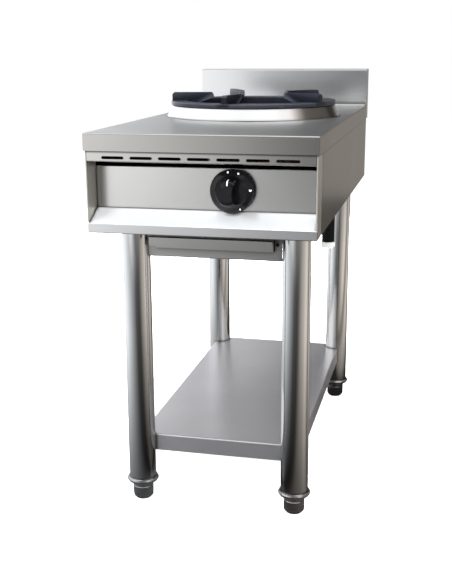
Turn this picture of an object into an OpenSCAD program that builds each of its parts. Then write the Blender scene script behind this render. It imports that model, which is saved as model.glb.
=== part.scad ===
// Single wok burner on a tubular stand: a folded stainless casing with a recessed
// control panel, a spun collar with a cast-iron wok ring, a jet burner with its gas
// train inside, a sliding drip tray, an undershelf and four levelling feet.
// Millimetres, +Z up, front towards -Y, origin on the floor under the middle.

/* [Overall] */
// Width of the worktop
unit_w = 400; // [370:5:460]
// Depth from the worktop's front edge to the back of the splashback
unit_d = 840; // [800:10:920]
// Height of the worktop above the floor
worktop_h = 710; // [680:5:850]
// Height of the splashback above the worktop
splash_h = 84; // [50:2:120]
// Thickness of the splashback, front to back
splash_t = 40; // [30:1:55]

/* [Sheet metal] */
// Thickness of the folded sheet
sheet_t = 1.2; // [1:0.1:1.6]
// Outside radius of the visible folds
fold_r = 3; // [2.5:0.5:5]
// Height of the worktop's front and side aprons
apron_h = 30; // [24:1:36]
// How far the casing stands back behind the worktop's edges
casing_inset = 2.5; // [2:0.5:5]
// Height of the casing from its bottom edge to the worktop
casing_h = 170; // [165:1:190]
// Width of the casing's inner flanges
flange_w = 18; // [12:1:20]

/* [Front] */
// Depth of the control recess
recess_d = 46; // [42:1:56]
// Depth of the cheek on each side of the recess
cheek_d = 46; // [34:1:50]
// Depth of the folded-back hem on the inside of each cheek
hem_d = 24; // [15:1:32]
// Height of the vent strip that shows below the apron
vent_strip_h = 18; // [14:1:24]
// Number of vent slots
vent_count = 7; // [3:1:9]
// Distance of the outer slots' middles from the worktop's ends
vent_side = 51.2; // [45:0.2:70]
// Width of a vent slot
vent_w = 5; // [4:0.5:7]
// Width of the sheet between two slots
vent_land = 10.6; // [8:0.2:20]
// Height of the open slot between the vent strip and the control panel
panel_slot = 12; // [6:1:16]
// Height of the front lip
lip_h = 16; // [12:1:24]
// Rise of the sloping ledge from the lip to the control panel
ledge_rise = 21; // [12:1:24]

/* [Knob and valve] */
// Knob's distance to the right of the middle
knob_x = 48; // [30:1:60]
// Height of the knob's axis above the casing's bottom edge
knob_up = 73; // [73:1:78]
// Diameter of the knob's skirt
knob_d = 75; // [60:1:76]
// Depth of the knob from its back edge to its front face
knob_l = 38; // [32:1:40]
// Gap between the control panel and the knob's back edge
knob_gap = 10; // [9:0.5:12]
// How far the knob pushes in
push_travel = 4; // [2:0.5:4.5]
// Diameter of the valve stem
stem_d = 8; // [6:0.5:10]

/* [Wok ring] */
// Distance of the burner's axis behind the worktop's front edge
ring_back = 448; // [430:1:470]
// How far the collar spreads from its top to the worktop
collar_spread = 9; // [4:0.5:14]
// Height of the collar
collar_h = 23; // [18:1:40]
// Inner radius of the cast-iron ring
iron_in_r = 134; // [110:1:140]
// Width of the ring's flat top, across
iron_w = 34; // [30:1:38]
// Thickness of the ring's flat top
iron_t = 8; // [6:0.5:12]
// Number of wok lugs
lug_count = 5; // [3:1:8]
// Angle of the first lug
lug_start = 46; // [0:1:71]
// Radial length of a lug
lug_l = 84; // [60:1:90]
// Thickness of a lug
lug_t = 10; // [7:0.5:14]
// Height of a lug above the ring
lug_h = 16; // [10:1:22]

/* [Burner] */
// How far the opening in the worktop reaches past the ring's inner edge
well_over = 4; // [2:0.5:6]
// How far the flame drum stands inside the ring's inner edge
drum_in = 1; // [0:0.5:8]
// Radius of the burner casting
burner_r = 62; // [55:1:72]
// Number of jets in the outer circle
jet_count = 12; // [6:1:14]

/* [Stand] */
// Distance of the leg centres in from the worktop's sides
leg_in = 52; // [48:1:58]
// Distance of the front legs' centres behind the worktop's front edge
leg_front = 112; // [104:1:130]
// Distance of the back legs' centres in front of the splashback's back
leg_back = 90; // [70:1:110]
// Outside diameter of a leg
leg_d = 51; // [45:1:54]
// Wall of a leg
leg_wall = 1.5; // [1.2:0.1:2.5]
// Height of the leg's lower end above the floor
leg_z = 45; // [42:1:60]
// Diameter of a levelling foot
foot_d = 39; // [32:1:42]
// How far a foot screws out
foot_travel = 25; // [10:1:28]
// Height of the undershelf's top
shelf_z = 127; // [110:1:220]
// Height of the undershelf's folded edges
shelf_edge_h = 33; // [20:1:45]

/* [Drip tray] */
// Gap between the tray's pan and the legs beside it
tray_side = 14.5; // [11:0.5:28]
// Length of the tray's pan
tray_l = 600; // [500:10:610]
// Height of the tray's pan
tray_h = 25; // [18:1:28]
// Height of the tray's front grip
grip_h = 16; // [10:1:20]

/* [Gas inlet] */
// Outside diameter of the gas pipe
pipe_d = 26.9; // [21.3:0.1:28]
// Wall of the gas pipe
pipe_wall = 2.65; // [2:0.05:3.2]
// Distance of the inlet pipe in from the worktop's right side
inlet_in = 44; // [43:0.5:46]
// Distance of the inlet pipe behind the middle
inlet_y = 60; // [40:1:120]
// How far the inlet pipe hangs below the casing
inlet_drop = 95; // [60:1:120]

/* [Hidden] */
$fn = 96;

// Clearances: between fixed pieces, between sliding pieces, and of turning shafts
fit_gap = 0.2;
slide_gap = 0.3;
shaft_gap = 0.05;

// Planes of the casing
front_y = -unit_d / 2;
ring_y = front_y + ring_back;
back_y = unit_d / 2;
splash_y = back_y - splash_t;
apron_z = worktop_h - apron_h;
casing_x = unit_w / 2 - casing_inset;
casing_z = worktop_h - casing_h;
casing_top_z = worktop_h - sheet_t - fit_gap;
casing_front_y = front_y + casing_inset;
casing_back_y = back_y - casing_inset;
panel_y = casing_front_y + recess_d;
cheek_back_y = casing_front_y + cheek_d;
vent_z = apron_z - vent_strip_h;
vent_drop = 2;
vent_mid_z = vent_z + vent_strip_h / 2 - vent_drop;
vent_pitch = (unit_w - 2 * vent_side) / (vent_count - 1);
vent_l = vent_pitch - vent_land;
lip_z = casing_z + lip_h;
ledge_z = lip_z + ledge_rise;
ledge_slope = ledge_rise / recess_d;
panel_z = ledge_z + ledge_slope * sheet_t + 4 * fit_gap;
panel_top_z = vent_z - panel_slot;
strip_return = 12;
shield_d = 60;
lip_wrap = 6;
inner_x = casing_x - sheet_t - fit_gap;
strip_x = casing_x - 2 * sheet_t - fit_gap;

// Outside radius of the plain folds
bend_r = sheet_t + 0.3;

// Splashback and worktop details
cove_r = 5;
upstand_h = 3;
splash_return = 14;
panel_overlap = 12;

// Heights and pipe sizes that the burner and the gas train share
knob_z = casing_z + knob_up;
pipe_r = pipe_d / 2;
fitting_wall = 4;
fitting_r = pipe_r + fitting_wall;

// Wok ring and burner
iron_r = iron_in_r + iron_w;
collar_inset = 1;
collar_top_r = iron_r - collar_inset;
collar_base_r = collar_top_r + collar_spread;
collar_t = 1.5;
collar_foot = 1.5;
collar_bend = 1;
collar_z = worktop_h;
collar_rim = 13;
collar_rim_r = collar_top_r - collar_rim;
iron_z = collar_z + collar_h + slide_gap;
iron_top_z = iron_z + iron_t;
iron_skirt = 19;
iron_skirt_t = 5;
iron_skirt_in = 4;
iron_rib_t = 5;
iron_rib_h = 10;
iron_rib_gap = 1;
lug_nose = 4;
lug_tip = 10;
lug_root = 12;
drum_top_z = worktop_h - sheet_t - fit_gap;
drum_clear = 1;
drum_h = drum_top_z - knob_z - fitting_r - drum_clear;
drum_r = iron_in_r - drum_in;
well_r = iron_in_r + well_over;
drum_flange = 14;
feed_drop = 16;
mixer_z = knob_z - feed_drop;
mixer_up = 13;
burner_z = mixer_z - mixer_up;
burner_h = 32;
jet_h = 36;
jet_r = 6;
jet_tip_r = 3.5;
jet_bore_r = 1.2;
jet_in = 13;
jet_step = 24;
jet_circle = burner_r - jet_in;
jet_inner_circle = jet_circle - jet_step;
jet_inner_count = 6;
mixer_r = 20;
mixer_wall = 3;
mixer_l = 150;
mixer_gap = 1;
mixer_flare = 8;
waist_from = 44;
waist_to = 70;
mixer_mouth_y = ring_y - burner_r - mixer_gap - mixer_l;
neck_l = 14;
neck_r = 17;
neck_bore_r = 13;
strap_t = 4;
strap_w = 32;
foot_boss_h = 10;
foot_boss_r = 9;
shutter_t = 2;
shutter_hub = 5;
air_hole_r = 5;
injector_y = mixer_mouth_y - 14;
injector_r = 8;
injector_body = 20;
injector_l = 30;
orifice_r = 1;

// Pilot and thermocouple
pilot_x = burner_r + 12;
pilot_y = ring_y - 8;
pilot_z = burner_z + burner_h + 20;
pilot_r = 5;
pilot_hood = 34;
lead_y = pilot_y + 12;
lead_r = 2;
lead_out = 20;
lead_bend = 50;
pilot_plate_t = 3;
pilot_seat_z = burner_z - foot_boss_h + pilot_plate_t;

// Stand
rail_z = casing_z + sheet_t + fit_gap;
rail_w = 54;
rail_h = 22;
rail_t = 1.5;
rail_room = 2;
rail_setback = max(0, rail_z + rail_h + rail_room + sheet_t - lip_z) / ledge_slope + rail_room;
rail_seat = 15;
leg_x = unit_w / 2 - leg_in;
plate_t = 3;
plate_w = 50;
plate_l = 84;
bolt_r = 4;
bolt_head_r = 7;
bolt_head_h = 6;
bolt_off = 34;
leg_top_z = rail_z - plate_t;
leg_ys = [front_y + leg_front, back_y - leg_back];
leg_r = leg_d / 2;
leg_bore_r = leg_r - leg_wall - shaft_gap;
foot_r = foot_d / 2;
socket_r = leg_r + 4.5;
socket_bottom_z = leg_z - 18;
foot_stem_r = 8;
foot_hold = 3;
foot_hex_h = 13;
socket_l = 30;
shelf_over = 6;
shelf_front_in = 11;
shelf_back_over = 18;
shelf_return = 12;
shelf_ys = [leg_ys[0] + shelf_front_in, leg_ys[1] + shelf_back_over];
shelf_x = leg_x + shelf_over;

// Drip tray and the cross rails that carry it
tray_t = 1;
tray_w = 2 * (leg_x - leg_r - tray_side);
tray_front_y = leg_ys[0] - 14;
tray_drop = 40;
tray_z = leg_top_z - tray_drop;
tray_top_z = tray_z + tray_h;
grip_y = tray_front_y - 27;
grip_over = 3;
tray_gap = 1.2;
cross_t = 1.5;
cross_h = 58;
cross_flange = 16;
cross_front_y = leg_ys[0] - 6;
cross_back_y = leg_ys[1] + 6;
runner_w = 14;

// Knob, valve and gas train
knob_r = knob_d / 2;
knob_back_y = panel_y - knob_gap;
skirt_h = 9;
grip_r = knob_r - 13;
grip_waist = 15;
grip_scoop_r = 34;
knob_bore_l = 20;
hub_r = 13;
hub_l = 4;
stem_r = stem_d / 2;
plunger_r = stem_r + 1;
plunger_l = 16;
valve_r = 17;
valve_front_y = panel_y + sheet_t + fit_gap;
valve_boss_r = 11;
valve_boss_l = 10;
valve_l = 48;
valve_back_y = valve_front_y + valve_boss_l + valve_l;
valve_mid_y = valve_back_y - valve_l / 2 - 6;
stem_back_y = valve_front_y + valve_boss_l + 12;
spigot_l = 10;
outlet_l = 8;
pipe_bore_r = pipe_r - pipe_wall;
thread_l = 18;
thread_cut = 0.25;
fitting_l = 26;
plug_head_h = 13;
plug_r = pipe_r + 1.3;
plug_stem_l = 14;
inlet_x = unit_w / 2 - inlet_in;
inlet_z = casing_z - inlet_drop;
locknut_h = 8;
locknut_over = 5;
feed_r = 6;
tube_r = 3;

// A profile drawn in Y and Z, drawn out along X
module along_x(x0, x1) {
    translate([x0, 0, 0]) rotate([90, 0, 90]) linear_extrude(x1 - x0) children();
}

// A profile drawn in X and Z, drawn out along Y
module along_y(y0, y1) {
    translate([0, y1, 0]) rotate([90, 0, 0]) linear_extrude(y1 - y0) children();
}

// A solid of revolution whose axis points along +Y from a given point
module turned_y(x, y, z) {
    translate([x, y, z]) rotate([-90, 0, 0]) children();
}

// A straight rod between two points on one axis direction
module rod_x(x0, x1, y, z, r) {
    translate([x0, y, z]) rotate([0, 90, 0]) cylinder(h = x1 - x0, r = r);
}

module rod_y(x, y0, y1, z, r) {
    turned_y(x, y0, z) cylinder(h = y1 - y0, r = r);
}

module rod_z(x, y, z0, z1, r) {
    translate([x, y, z0]) cylinder(h = z1 - z0, r = r);
}

module box(x, y, z) {
    translate([x[0], y[0], z[0]]) cube([x[1] - x[0], y[1] - y[0], z[1] - z[0]]);
}

// Geometry of folded sheet: a path of outside points with rounded bends, thickened to its left
function unit(v) = v / norm(v);
function left_of(v) = [-v[1], v[0]];
function bend_points(a, p, b, r, steps) =
    let (u = unit(a - p), v = unit(b - p), half = acos(u * v) / 2,
        centre = p + unit(u + v) * r / sin(half),
        from = p + u * r / tan(half) - centre,
        turn = (180 - 2 * half) * sign(u[1] * v[0] - u[0] * v[1]))
    [for (k = [0 : steps])
        let (t = turn * k / steps)
        centre + [from[0] * cos(t) - from[1] * sin(t), from[0] * sin(t) + from[1] * cos(t)]];
function bent(pts, r, steps = 5) = [for (i = [0 : len(pts) - 1])
    each (i == 0 || i == len(pts) - 1) ? [pts[i]]
        : bend_points(pts[i - 1], pts[i], pts[i + 1], r, steps)];
function shifted(pts, t) = [for (i = [0 : len(pts) - 1])
    let (n1 = left_of(unit(pts[max(i, 1)] - pts[max(i, 1) - 1])),
        j = min(i, len(pts) - 2), n2 = left_of(unit(pts[j + 1] - pts[j])))
    pts[i] + (n1 + n2) * t / (1 + n1 * n2)];
function reversed(pts) = [for (i = [len(pts) - 1 : -1 : 0]) pts[i]];

module folded(pts, t, r) {
    path = bent(pts, r);
    polygon(concat(path, reversed(shifted(path, t))));
}

// A rectangle from the ground up, with its two upper corners rounded
module round_topped(w, h, r) {
    translate([-w / 2, 0]) square([w, h - r]);
    translate([r - w / 2, 0]) square([w - 2 * r, h]);
    for (s = [-1, 1]) translate([s * (w / 2 - r), h - r]) circle(r);
}

// The same, with only the corner on the left rounded
module round_nosed(w, h, r) {
    square([w, h - r]);
    translate([r, 0]) square([w - r, h]);
    translate([r, h - r]) circle(r);
}

// Worktop: one sheet folded down at the front and sides, and coved up at the back
module worktop_block(inset, extra) {
    intersection() {
        along_y(front_y + inset, splash_y + extra)
            translate([0, apron_z - extra])
                round_topped(unit_w - 2 * inset, apron_h - inset + extra, fold_r - inset);
        along_x(-unit_w / 2, unit_w / 2)
            translate([front_y + inset, apron_z - extra])
                round_nosed(splash_y - front_y + extra, apron_h - inset + extra, fold_r - inset);
    }
}

module worktop() color("gainsboro") {
    difference() {
        worktop_block(0, 0);
        worktop_block(sheet_t, 1);
        rod_z(0, ring_y, apron_z, worktop_h + 1, well_r);
    }
    along_x(fold_r - unit_w / 2, unit_w / 2 - fold_r)
        folded([[splash_y - 2 * cove_r, worktop_h], [splash_y - sheet_t, worktop_h],
            [splash_y - sheet_t, worktop_h + cove_r + upstand_h]], -sheet_t, cove_r);
}

// Splashback: a folded channel, open at its back behind narrow returns
module splashback() color("gainsboro") difference() {
    top_z = worktop_h + splash_h;
    along_x(-unit_w / 2, unit_w / 2)
        translate([splash_y, apron_z]) round_nosed(splash_t, top_z - apron_z, fold_r);
    along_x(sheet_t - unit_w / 2, unit_w / 2 - sheet_t)
        translate([splash_y + sheet_t, apron_z - 1])
            round_nosed(splash_t - 2 * sheet_t, top_z - apron_z - sheet_t + 1, fold_r - sheet_t);
    box([splash_return - unit_w / 2, unit_w / 2 - splash_return], [splash_y + splash_t / 2, back_y + 1],
        [apron_z - 1, top_z - splash_return]);
}

// Collar: spun from sheet, with a small foot and a rim turned in at the top
module wok_collar() color("silver") translate([0, ring_y, collar_z]) rotate_extrude()
    folded([[collar_base_r + collar_foot, 0], [collar_base_r - collar_t, 0],
        [collar_top_r - collar_t, collar_h - collar_t], [collar_rim_r, collar_h - collar_t]],
        -collar_t, collar_bend);

// Wok ring: one iron casting, a flat annulus with a skirt, a locating rib and radial lugs
module ring_section() {
    rib_r = collar_rim_r - iron_rib_gap;
    top = iron_top_z - iron_z;
    skirt_r = iron_in_r - iron_skirt_in;
    polygon([[iron_r, 0], [iron_r, top - 1.5], [iron_r - 1.5, top], [iron_in_r + 2, top],
        [iron_in_r, top - 2], [skirt_r, -iron_skirt], [skirt_r + iron_skirt_t, -iron_skirt],
        [iron_in_r + iron_skirt_t, 0], [rib_r - iron_rib_t, 0], [rib_r - iron_rib_t + 1, -iron_rib_h],
        [rib_r - 1, -iron_rib_h], [rib_r, -2], [rib_r, 0]]);
}

module lug_section() {
    outer = iron_r - 1.5;
    inner = outer - lug_l;
    top = iron_t + lug_h;
    polygon([[outer, iron_t - 3], [outer, top - lug_nose], [outer - lug_nose, top], [inner + 3, top],
        [inner, top - 3], [inner - 2, top - lug_tip], [iron_in_r - 3, iron_t - lug_root],
        [iron_in_r + 3, iron_t - lug_root], [iron_in_r + 6, iron_t - 3]]);
}

module wok_ring() color("dimgray") translate([0, ring_y, iron_z]) {
    rotate_extrude() ring_section();
    for (k = [0 : lug_count - 1])
        rotate([0, 0, lug_start + k * 360 / lug_count])
            along_y(-lug_t / 2, lug_t / 2) lug_section();
}

// Side panels: tall sheets with flanges turned in at the top and bottom
module side_panel(s) color("darkgray") mirror([s < 0 ? 1 : 0, 0, 0]) difference() {
    along_y(cheek_back_y, casing_back_y - sheet_t - fit_gap)
        folded([[casing_x - flange_w, casing_top_z], [casing_x, casing_top_z], [casing_x, casing_z],
            [casing_x - flange_w, casing_z]], -sheet_t, bend_r);
    box([casing_x - flange_w - 1, casing_x + 1], [splash_y - fit_gap, back_y],
        [apron_z - fit_gap, worktop_h]);
}

// Cheeks: the casing's sides in front of the control panel, hemmed inwards and notched for the lip
module front_cheek(s) color("darkgray") mirror([s < 0 ? 1 : 0, 0, 0]) difference() {
    translate([0, 0, casing_z]) linear_extrude(casing_top_z - casing_z) {
        translate([casing_x - sheet_t, casing_front_y + sheet_t]) square([sheet_t, cheek_d - sheet_t]);
        translate([casing_x - 2 * sheet_t, casing_front_y + sheet_t])
            square([2 * sheet_t, hem_d - sheet_t]);
        translate([casing_x - sheet_t, casing_front_y + sheet_t]) circle(sheet_t);
    }
    notch_y = casing_front_y + lip_wrap + ledge_slope * sheet_t + fit_gap;
    box([strip_x - 1, casing_x + 1], [casing_front_y - 1, notch_y],
        [casing_z - 1, lip_z + ledge_slope * lip_wrap + fit_gap]);
}

// Vent strip: the slotted band under the apron, turned back along its lower edge
module vent_strip() color("darkgray") difference() {
    along_x(-strip_x, strip_x)
        folded([[casing_front_y, casing_top_z], [casing_front_y, vent_z],
            [casing_front_y + strip_return, vent_z]], sheet_t, bend_r);
    for (k = [0 : vent_count - 1])
        translate([(k - (vent_count - 1) / 2) * vent_pitch, 0, vent_mid_z])
            along_y(casing_front_y - 1, casing_front_y + sheet_t + 1) {
                square([vent_l - vent_w, vent_w], center = true);
                for (s = [-1, 1]) translate([s * (vent_l - vent_w) / 2, 0]) circle(vent_w / 2);
            }
}

// Control panel: set back behind the lip, turned back over the valve as a shield, pierced for the stem
module control_panel() color("darkgray") difference() {
    along_x(-inner_x, inner_x)
        folded([[panel_y, panel_z], [panel_y, panel_top_z], [panel_y + shield_d, panel_top_z]],
            -sheet_t, bend_r);
    rod_y(knob_x, panel_y - 1, panel_y + sheet_t + 1, knob_z, stem_r + 3);
}

// Ledge: the front lip with its closed ends, the slope up to the control panel and a flange behind it
module lip_end() {
    wrap_y = casing_front_y + lip_wrap;
    wrap_z = lip_z + ledge_slope * lip_wrap;
    along_x(strip_x - sheet_t, casing_x)
        folded([[wrap_y, casing_z], [casing_front_y, casing_z], [casing_front_y, lip_z], [wrap_y, wrap_z]],
            -sheet_t, bend_r);
    along_x(casing_x - sheet_t, casing_x)
        polygon(concat([[wrap_y, casing_z]], bent([[wrap_y, casing_z], [casing_front_y, casing_z],
            [casing_front_y, lip_z], [wrap_y, wrap_z]], bend_r)));
}

module front_ledge() color("gainsboro") {
    behind_y = panel_y + sheet_t + fit_gap;
    along_x(-strip_x, strip_x)
        folded([[casing_front_y + rail_setback + rail_seat, casing_z], [casing_front_y, casing_z],
            [casing_front_y, lip_z], [behind_y, lip_z + ledge_slope * (behind_y - casing_front_y)],
            [behind_y, ledge_z + panel_overlap]], -sheet_t, bend_r);
    for (s = [-1, 1]) mirror([s < 0 ? 1 : 0, 0, 0]) lip_end();
}

// Back panel: closes the casing and runs up inside the splashback, with a flange along its bottom
module back_panel() color("darkgray") difference() {
    along_x(-inner_x, inner_x)
        folded([[casing_back_y, worktop_h + splash_h - sheet_t - fit_gap], [casing_back_y, casing_z],
            [casing_back_y - flange_w, casing_z]], -sheet_t, bend_r);
    for (s = [-1, 1])
        box([s * casing_x - flange_w - fit_gap, s * casing_x + flange_w + fit_gap],
            [casing_back_y - flange_w - 1, casing_back_y - sheet_t], [casing_z - 1, casing_z + bend_r]);
}

// Base rails: channels from the ledge to the back panel, which carry the casing on the legs
module base_rail(s) color("darkgray") difference() {
    mirror([s < 0 ? 1 : 0, 0, 0])
        along_y(casing_front_y + rail_setback, casing_back_y - sheet_t - rail_room)
            folded([[leg_x - rail_w / 2, rail_z + rail_h], [leg_x - rail_w / 2, rail_z],
                [leg_x + rail_w / 2, rail_z], [leg_x + rail_w / 2, rail_z + rail_h]],
                rail_t, rail_t + 0.5);
    for (y = leg_ys, d = [-1, 1])
        rod_z(s * leg_x, y + d * bolt_off, rail_z - 1, rail_z + rail_t + 1, bolt_r + fit_gap);
    if (s > 0) rod_z(inlet_x, inlet_y, rail_z - 1, rail_z + rail_t + 1, pipe_r + fit_gap);
}

// Flame drum: a sheet cylinder hung by its flange under the opening in the worktop
module flame_drum() color("slategray") translate([0, ring_y, drum_top_z]) rotate_extrude()
    folded([[drum_r + drum_flange, 0], [drum_r, 0], [drum_r, -drum_h]], sheet_t, sheet_t + 0.8);

// Burner casting: a shallow round gas chamber with a neck for the mixing tube and two feet
module burner_body() color("dimgray") {
    translate([0, ring_y, burner_z]) rotate_extrude()
        polygon([[0, 0], [burner_r - 16, 0], [burner_r - 6, 6], [burner_r, 14], [burner_r, burner_h - 3],
            [burner_r - 3, burner_h], [0, burner_h]]);
    difference() {
        rod_y(0, ring_y - burner_r - mixer_gap - neck_l, ring_y - burner_r + 20, mixer_z, neck_r);
        rod_y(0, ring_y - burner_r - mixer_gap - neck_l - 1, ring_y - burner_r + 10, mixer_z,
            neck_bore_r);
    }
    for (s = [-1, 1])
        rod_z(s * (burner_r - 28), ring_y, burner_z - foot_boss_h, burner_z + 4, foot_boss_r);
}

// Jets: turned nozzles in two circles round a middle one, standing on the casting
module jet() {
    rotate_extrude()
        polygon([[0, 0], [jet_r, 0], [jet_r, jet_h - 12], [jet_tip_r, jet_h], [jet_bore_r, jet_h],
            [jet_bore_r, jet_h - 8], [0, jet_h - 8]]);
}

module jet_ring(count, r) {
    for (k = [0 : count - 1]) rotate([0, 0, k * 360 / count]) translate([r, 0, 0]) jet();
}

module burner_jets() color("goldenrod") translate([0, ring_y, burner_z + burner_h]) {
    jet();
    jet_ring(jet_inner_count, jet_inner_circle);
    jet_ring(jet_count, jet_circle);
}

// Burner support: a strap under the burner's feet, its ends turned down against the base rails
module burner_support() color("gray") {
    top = burner_z - foot_boss_h;
    reach = leg_x - rail_w / 2 - fit_gap;
    along_y(ring_y - strap_w / 2, ring_y + strap_w / 2)
        folded([[-reach, rail_z + rail_t], [-reach, top], [reach, top], [reach, rail_z + rail_t]],
            -strap_t, strap_t + 1);
}

// Mixing tube: a waisted tube that slips over the burner's neck and flares at its mouth
module mixing_tube() color("dimgray") turned_y(0, mixer_mouth_y, mixer_z) {
    waist = mixer_r - 6;
    socket = neck_r + shaft_gap;
    difference() {
        rotate_extrude()
            polygon([[0, 0], [mixer_r + mixer_flare, 0], [mixer_r + mixer_flare, 6],
                [waist + mixer_wall, waist_from], [waist + mixer_wall, waist_to],
                [mixer_r + mixer_wall, mixer_l - 20], [mixer_r + mixer_wall, mixer_l], [0, mixer_l]]);
        rotate_extrude()
            polygon([[0, -1], [mixer_r + 4, -1], [mixer_r + 4, 4], [waist, waist_from], [waist, waist_to],
                [socket, mixer_l - neck_l - 2], [socket, mixer_l + 1], [0, mixer_l + 1]]);
    }
}

// Air shutter: a slotted disc that turns on the injector in front of the mixing tube's mouth
module air_shutter() color("silver")
    turned_y(0, mixer_mouth_y - slide_gap - shutter_t, mixer_z) difference() {
        union() {
            cylinder(h = shutter_t, r = mixer_r + mixer_flare);
            rod_z(0, 0, -shutter_hub, 0, injector_r + 4);
        }
        rod_z(0, 0, -shutter_hub - 1, shutter_t + 1, injector_r + shaft_gap);
        for (k = [0 : 2]) rotate([0, 0, 120 * k])
            rod_z(mixer_r - 3, 0, -1, shutter_t + 1, air_hole_r);
    }

// Injector: a brass nozzle that carries the shutter and looks into the mixing tube
module injector() color("goldenrod") {
    turned_y(0, injector_y, mixer_z) difference() {
        rotate_extrude()
            polygon([[0, 0], [injector_r, 0], [injector_r, injector_body], [injector_r / 2, injector_l],
                [0, injector_l]]);
        rod_z(0, 0, injector_l - 6, injector_l + 1, orifice_r);
    }
    translate([0, injector_y, mixer_z]) sphere(r = injector_r + 1);
}

// Feed pipe: from the valve's outlet across, back and down to the injector
module feed_pipe() color("goldenrod") {
    rod_x(0, knob_x - valve_r - outlet_l, valve_mid_y, knob_z, feed_r);
    translate([0, valve_mid_y, knob_z]) sphere(r = feed_r);
    rod_y(0, valve_mid_y, injector_y, knob_z, feed_r);
    translate([0, injector_y, knob_z]) sphere(r = feed_r);
    rod_z(0, injector_y, mixer_z + injector_r + 1, knob_z, feed_r);
}

// Gas valve: a plug valve behind the control panel, with its stem bore, inlet and outlet
module gas_valve() color("goldenrod") difference() {
    union() {
        rod_y(knob_x, valve_front_y, valve_front_y + valve_boss_l, knob_z, valve_boss_r);
        rod_y(knob_x, valve_front_y + valve_boss_l, valve_back_y, knob_z, valve_r);
        rod_x(knob_x, knob_x + valve_r + spigot_l, valve_mid_y, knob_z, pipe_r);
        rod_x(knob_x - valve_r - outlet_l, knob_x, valve_mid_y, knob_z, feed_r + 3);
    }
    rod_y(knob_x, valve_front_y - 1, stem_back_y + 1, knob_z, stem_r + shaft_gap);
    rod_y(knob_x, stem_back_y, stem_back_y + plunger_l + push_travel + 1, knob_z, plunger_r + shaft_gap);
}

// Plunger: pushed in by the stem to open the safety valve
module valve_plunger() color("silver")
    rod_y(knob_x, stem_back_y + slide_gap, stem_back_y + plunger_l, knob_z, plunger_r);

// Stem: turns the valve's plug and carries the knob
module valve_stem() color("silver")
    rod_y(knob_x, knob_back_y - knob_bore_l + 1, stem_back_y, knob_z, stem_r);

// Knob: a domed disc with a grip left standing between two scooped finger hollows, and a hub behind
module knob_form() {
    rotate_extrude()
        polygon([[0, 0], [knob_r - 1, 0], [knob_r, 1.2], [knob_r, 3.2], [knob_r - 2, 5.2],
            [grip_r + 3, skirt_h], [grip_r, skirt_h + 2.5], [grip_r - 3, knob_l - 4],
            [grip_r - 6, knob_l - 1], [grip_r - 11, knob_l], [0, knob_l]]);
    translate([0, 0, -hub_l]) cylinder(h = hub_l + 1, r = hub_r);
}

module knob() color("black") turned_y(knob_x, knob_back_y, knob_z) rotate([180, 0, 0]) difference() {
    knob_form();
    for (s = [-1, 1]) translate([s * (grip_scoop_r + grip_waist / 2), 0, skirt_h + 1])
        cylinder(h = knob_l, r = grip_scoop_r);
    translate([0, 0, -hub_l - 1]) cylinder(h = knob_bore_l + hub_l + 1, r = stem_r + shaft_gap);
}

// Gas train: pipes and malleable elbows from the inlet to the valve
module valve_pipe() color("dimgray") difference() {
    rod_x(knob_x + valve_r + spigot_l, inlet_x - fitting_l, valve_mid_y, knob_z, pipe_r);
    rod_x(knob_x + valve_r, inlet_x, valve_mid_y, knob_z, pipe_bore_r);
}

module supply_elbow() color("dimgray") difference() {
    union() {
        rod_x(inlet_x - fitting_l, inlet_x, valve_mid_y, knob_z, fitting_r);
        translate([inlet_x, valve_mid_y, knob_z]) sphere(r = fitting_r);
        rod_y(inlet_x, valve_mid_y, valve_mid_y + fitting_l, knob_z, fitting_r);
    }
    rod_x(inlet_x - fitting_l - 1, inlet_x, valve_mid_y, knob_z, pipe_bore_r);
    rod_y(inlet_x, valve_mid_y, valve_mid_y + fitting_l + 1, knob_z, pipe_bore_r);
}

module supply_pipe() color("dimgray") difference() {
    rod_y(inlet_x, valve_mid_y + fitting_l, inlet_y - fitting_l, knob_z, pipe_r);
    rod_y(inlet_x, valve_mid_y, inlet_y, knob_z, pipe_bore_r);
}

module inlet_elbow() color("dimgray") difference() {
    union() {
        rod_y(inlet_x, inlet_y - fitting_l, inlet_y, knob_z, fitting_r);
        translate([inlet_x, inlet_y, knob_z]) sphere(r = fitting_r);
        rod_z(inlet_x, inlet_y, knob_z - fitting_l, knob_z, fitting_r);
    }
    rod_y(inlet_x, inlet_y - fitting_l - 1, inlet_y, knob_z, pipe_bore_r);
    rod_z(inlet_x, inlet_y, knob_z - fitting_l - 1, knob_z, pipe_bore_r);
}

module inlet_pipe() color("black") difference() {
    union() {
        rod_z(inlet_x, inlet_y, inlet_z, knob_z - fitting_l, pipe_r - thread_cut);
        rod_z(inlet_x, inlet_y, inlet_z + thread_l, knob_z - fitting_l, pipe_r);
    }
    rod_z(inlet_x, inlet_y, inlet_z - 1, knob_z, pipe_bore_r);
}

// Locknuts: clamp the inlet pipe to the base rail from above and below
module inlet_locknuts() color("silver")
    for (z = [rail_z - locknut_h, rail_z + rail_t])
        translate([inlet_x, inlet_y, z]) rotate([0, 0, 30]) difference() {
            cylinder(h = locknut_h, r = pipe_r + locknut_over, $fn = 6);
            translate([0, 0, -1]) cylinder(h = locknut_h + 2, r = pipe_r + shaft_gap);
        }

// Transit plug: a plastic plug that closes the inlet until the unit is connected
module inlet_plug() color("white") translate([inlet_x, inlet_y, inlet_z - slide_gap]) rotate_extrude()
    polygon([[0, -plug_head_h], [plug_r - 3, -plug_head_h], [plug_r, 3 - plug_head_h], [plug_r, 0],
        [pipe_bore_r - shaft_gap, 0], [pipe_bore_r - shaft_gap, plug_stem_l - 2],
        [pipe_bore_r - 1.5, plug_stem_l], [0, plug_stem_l]]);

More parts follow.
